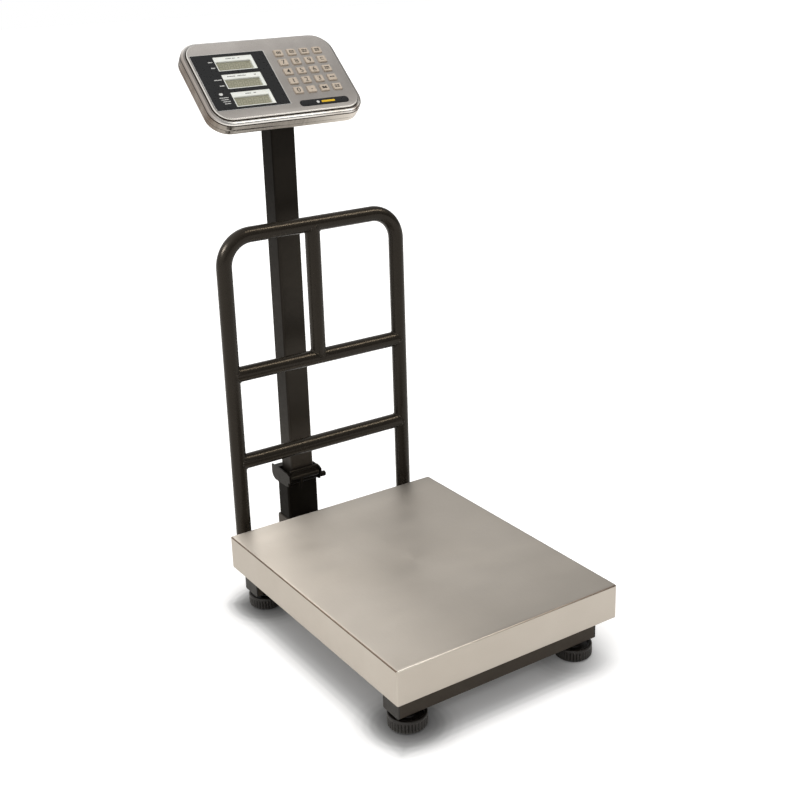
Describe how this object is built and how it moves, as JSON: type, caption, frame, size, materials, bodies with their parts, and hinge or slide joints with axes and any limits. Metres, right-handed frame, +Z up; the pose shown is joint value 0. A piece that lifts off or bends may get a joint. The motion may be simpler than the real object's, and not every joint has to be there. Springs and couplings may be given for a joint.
{
  "type": "platform scale",
  "caption": "Price-computing platform scale with a steel platter on levelling feet, a tube guard rail, and a folding column carrying a tilting display and keypad head.",
  "frame": {"origin": "middle of the whole footprint, at floor level", "axes": "+Z up, +Y from the user towards the column, +X to the user's right"},
  "size_m": [0.4, 0.7132, 0.9049],
  "materials": {
    "black_paint": "semi-gloss black powder coat",
    "stainless": "satin stainless sheet",
    "polished_steel": "polished surround with a satin face",
    "zinc_steel": "zinc plated",
    "aluminium": "machined",
    "black_plastic": "moulded black",
    "rubber": "matt black",
    "white_plastic": "white moulding",
    "lcd": "grey-green display glass",
    "circuit_board": "solder mask green",
    "battery_case": "moulded grey",
    "key_plastic": "cream moulded caps"
  },
  "bodies": {
    "base": {"front_cross_beam": "black_paint", "rear_cross_beam": "black_paint", "base_spine": "black_paint", "rear_outrigger": "black_paint", "beam_end_caps": "black_plastic", "load_cell": "aluminium", "load_cell_bolts": "zinc_steel", "signal_cable": "rubber", "guard_rail": "black_paint", "rail_bolts": "zinc_steel", "lower_post": "black_paint", "hinge_bracket": "black_paint", "hinge_pins": "zinc_steel"},
    "foot_pad_front_left": {"foot_pad_front_left": "rubber"},
    "foot_wheel_front_left": {"foot_wheel_front_left": "black_plastic"},
    "foot_pad_front_right": {"foot_pad_front_right": "rubber"},
    "foot_wheel_front_right": {"foot_wheel_front_right": "black_plastic"},
    "foot_pad_rear_left": {"foot_pad_rear_left": "rubber"},
    "foot_wheel_rear_left": {"foot_wheel_rear_left": "black_plastic"},
    "foot_pad_rear_right": {"foot_pad_rear_right": "rubber"},
    "foot_wheel_rear_right": {"foot_wheel_rear_right": "black_plastic"},
    "weighing_frame": {"platform_frame": "black_paint", "platform_pads": "rubber"},
    "platter": {"platter_cover": "stainless"},
    "latch": {"latch_lever": "black_paint"},
    "clamp": {"clamp_bolt": "zinc_steel"},
    "column": {"column_tube": "black_paint", "column_knuckle": "black_paint", "head_bracket": "black_paint"},
    "head": {"front_housing": "polished_steel", "rear_housing": "polished_steel", "front_overlays": "black_plastic", "lcd_bezels": "white_plastic", "lcd_modules": "lcd", "keypad_board": "circuit_board", "main_board": "circuit_board", "battery": "battery_case", "housing_screws": "zinc_steel", "tilt_bolt": "zinc_steel"},
    "switch": {"power_switch": "black_plastic"},
    "key_fn1_cap": {"key_fn1": "key_plastic"},
    "key_fn2_cap": {"key_fn2": "key_plastic"},
    "key_fn3_cap": {"key_fn3": "key_plastic"},
    "key_fn4_cap": {"key_fn4": "key_plastic"},
    "key_7_cap": {"key_7": "key_plastic"},
    "key_8_cap": {"key_8": "key_plastic"},
    "key_9_cap": {"key_9": "key_plastic"},
    "key_fn5_cap": {"key_fn5": "key_plastic"},
    "key_4_cap": {"key_4": "key_plastic"},
    "key_5_cap": {"key_5": "key_plastic"},
    "key_6_cap": {"key_6": "key_plastic"},
    "key_fn6_cap": {"key_fn6": "key_plastic"},
    "key_1_cap": {"key_1": "key_plastic"},
    "key_2_cap": {"key_2": "key_plastic"},
    "key_3_cap": {"key_3": "key_plastic"},
    "key_fn7_cap": {"key_fn7": "key_plastic"},
    "key_0_cap": {"key_0": "key_plastic"},
    "key_point_cap": {"key_point": "key_plastic"},
    "key_fn8_cap": {"key_fn8": "key_plastic"},
    "key_fn9_cap": {"key_fn9": "key_plastic"}
  },
  "joints": [
    {"name": "foot_front_left_height", "type": "slide", "parent": "base", "child": "foot_pad_front_left", "axis": [0, 0, 1], "range_m": [-0.009, 0.00375]},
    {"name": "foot_front_left_turn", "type": "hinge", "parent": "foot_pad_front_left", "child": "foot_wheel_front_left", "pos_m": [-0.155, -0.31057, 0], "axis": [0, 0, 1], "range_deg": [-2175, 915]},
    {"name": "foot_front_right_height", "type": "slide", "parent": "base", "child": "foot_pad_front_right", "axis": [0, 0, 1], "range_m": [-0.009, 0.00375]},
    {"name": "foot_front_right_turn", "type": "hinge", "parent": "foot_pad_front_right", "child": "foot_wheel_front_right", "pos_m": [0.155, -0.31057, 0], "axis": [0, 0, 1], "range_deg": [-2175, 915]},
    {"name": "foot_rear_left_height", "type": "slide", "parent": "base", "child": "foot_pad_rear_left", "axis": [0, 0, 1], "range_m": [-0.009, 0.00375]},
    {"name": "foot_rear_left_turn", "type": "hinge", "parent": "foot_pad_rear_left", "child": "foot_wheel_rear_left", "pos_m": [-0.155, 0.11543, 0], "axis": [0, 0, 1], "range_deg": [-2175, 915]},
    {"name": "foot_rear_right_height", "type": "slide", "parent": "base", "child": "foot_pad_rear_right", "axis": [0, 0, 1], "range_m": [-0.009, 0.00375]},
    {"name": "foot_rear_right_turn", "type": "hinge", "parent": "foot_pad_rear_right", "child": "foot_wheel_rear_right", "pos_m": [0.155, 0.11543, 0], "axis": [0, 0, 1], "range_deg": [-2175, 915]},
    {"name": "load_cell_deflection", "type": "slide", "parent": "base", "child": "weighing_frame", "axis": [0, 0, 1], "range_m": [-0.0006, 0], "stiffness_N_per_m": 200000, "springref_m": 0.0005},
    {"name": "platter_lift_off", "type": "slide", "parent": "weighing_frame", "child": "platter", "axis": [0, 0, 1], "range_m": [0, 0.12]},
    {"name": "latch_pull", "type": "hinge", "parent": "base", "child": "latch", "pos_m": [0, 0.24593, 0.1452], "axis": [1, 0, 0], "range_deg": [0, 22]},
    {"name": "clamp_turn", "type": "hinge", "parent": "base", "child": "clamp", "pos_m": [0, 0.25343, 0.1352], "axis": [1, 0, 0], "range_deg": [0, 360]},
    {"name": "column_fold", "type": "hinge", "parent": "base", "child": "column", "pos_m": [0, 0.29643, 0.1362], "axis": [-1, 0, 0], "range_deg": [0, 90]},
    {"name": "head_tilt", "type": "hinge", "parent": "column", "child": "head", "pos_m": [0, 0.27224, 0.79024], "axis": [1, 0, 0], "range_deg": [-30, 20]},
    {"name": "power_rocker", "type": "hinge", "parent": "head", "child": "switch", "pos_m": [0.1, 0.25369, 0.79924], "axis": [1, 0, 0], "range_deg": [0, 18]},
    {"name": "key_fn1_press", "type": "slide", "parent": "head", "child": "key_fn1_cap", "axis": [0, -0.66, 0.7513], "range_m": [-0.0012, 0], "stiffness_N_per_m": 300, "springref_m": 0.0003},
    {"name": "key_fn2_press", "type": "slide", "parent": "head", "child": "key_fn2_cap", "axis": [0, -0.66, 0.7513], "range_m": [-0.0012, 0], "stiffness_N_per_m": 300, "springref_m": 0.0003},
    {"name": "key_fn3_press", "type": "slide", "parent": "head", "child": "key_fn3_cap", "axis": [0, -0.66, 0.7513], "range_m": [-0.0012, 0], "stiffness_N_per_m": 300, "springref_m": 0.0003},
    {"name": "key_fn4_press", "type": "slide", "parent": "head", "child": "key_fn4_cap", "axis": [0, -0.66, 0.7513], "range_m": [-0.0012, 0], "stiffness_N_per_m": 300, "springref_m": 0.0003},
    {"name": "key_7_press", "type": "slide", "parent": "head", "child": "key_7_cap", "axis": [0, -0.66, 0.7513], "range_m": [-0.0012, 0], "stiffness_N_per_m": 300, "springref_m": 0.0003},
    {"name": "key_8_press", "type": "slide", "parent": "head", "child": "key_8_cap", "axis": [0, -0.66, 0.7513], "range_m": [-0.0012, 0], "stiffness_N_per_m": 300, "springref_m": 0.0003},
    {"name": "key_9_press", "type": "slide", "parent": "head", "child": "key_9_cap", "axis": [0, -0.66, 0.7513], "range_m": [-0.0012, 0], "stiffness_N_per_m": 300, "springref_m": 0.0003},
    {"name": "key_fn5_press", "type": "slide", "parent": "head", "child": "key_fn5_cap", "axis": [0, -0.66, 0.7513], "range_m": [-0.0012, 0], "stiffness_N_per_m": 300, "springref_m": 0.0003},
    {"name": "key_4_press", "type": "slide", "parent": "head", "child": "key_4_cap", "axis": [0, -0.66, 0.7513], "range_m": [-0.0012, 0], "stiffness_N_per_m": 300, "springref_m": 0.0003},
    {"name": "key_5_press", "type": "slide", "parent": "head", "child": "key_5_cap", "axis": [0, -0.66, 0.7513], "range_m": [-0.0012, 0], "stiffness_N_per_m": 300, "springref_m": 0.0003},
    {"name": "key_6_press", "type": "slide", "parent": "head", "child": "key_6_cap", "axis": [0, -0.66, 0.7513], "range_m": [-0.0012, 0], "stiffness_N_per_m": 300, "springref_m": 0.0003},
    {"name": "key_fn6_press", "type": "slide", "parent": "head", "child": "key_fn6_cap", "axis": [0, -0.66, 0.7513], "range_m": [-0.0012, 0], "stiffness_N_per_m": 300, "springref_m": 0.0003},
    {"name": "key_1_press", "type": "slide", "parent": "head", "child": "key_1_cap", "axis": [0, -0.66, 0.7513], "range_m": [-0.0012, 0], "stiffness_N_per_m": 300, "springref_m": 0.0003},
    {"name": "key_2_press", "type": "slide", "parent": "head", "child": "key_2_cap", "axis": [0, -0.66, 0.7513], "range_m": [-0.0012, 0], "stiffness_N_per_m": 300, "springref_m": 0.0003},
    {"name": "key_3_press", "type": "slide", "parent": "head", "child": "key_3_cap", "axis": [0, -0.66, 0.7513], "range_m": [-0.0012, 0], "stiffness_N_per_m": 300, "springref_m": 0.0003},
    {"name": "key_fn7_press", "type": "slide", "parent": "head", "child": "key_fn7_cap", "axis": [0, -0.66, 0.7513], "range_m": [-0.0012, 0], "stiffness_N_per_m": 300, "springref_m": 0.0003},
    {"name": "key_0_press", "type": "slide", "parent": "head", "child": "key_0_cap", "axis": [0, -0.66, 0.7513], "range_m": [-0.0012, 0], "stiffness_N_per_m": 300, "springref_m": 0.0003},
    {"name": "key_point_press", "type": "slide", "parent": "head", "child": "key_point_cap", "axis": [0, -0.66, 0.7513], "range_m": [-0.0012, 0], "stiffness_N_per_m": 300, "springref_m": 0.0003},
    {"name": "key_fn8_press", "type": "slide", "parent": "head", "child": "key_fn8_cap", "axis": [0, -0.66, 0.7513], "range_m": [-0.0012, 0], "stiffness_N_per_m": 300, "springref_m": 0.0003},
    {"name": "key_fn9_press", "type": "slide", "parent": "head", "child": "key_fn9_cap", "axis": [0, -0.66, 0.7513], "range_m": [-0.0012, 0], "stiffness_N_per_m": 300, "springref_m": 0.0003}
  ],
  "couplings": [
    {"joint": "foot_front_left_turn", "follows": "foot_front_left_height", "rad_per_m": 4188.8},
    {"joint": "foot_front_right_turn", "follows": "foot_front_right_height", "rad_per_m": 4188.8},
    {"joint": "foot_rear_left_turn", "follows": "foot_rear_left_height", "rad_per_m": 4188.8},
    {"joint": "foot_rear_right_turn", "follows": "foot_rear_right_height", "rad_per_m": 4188.8}
  ]
}
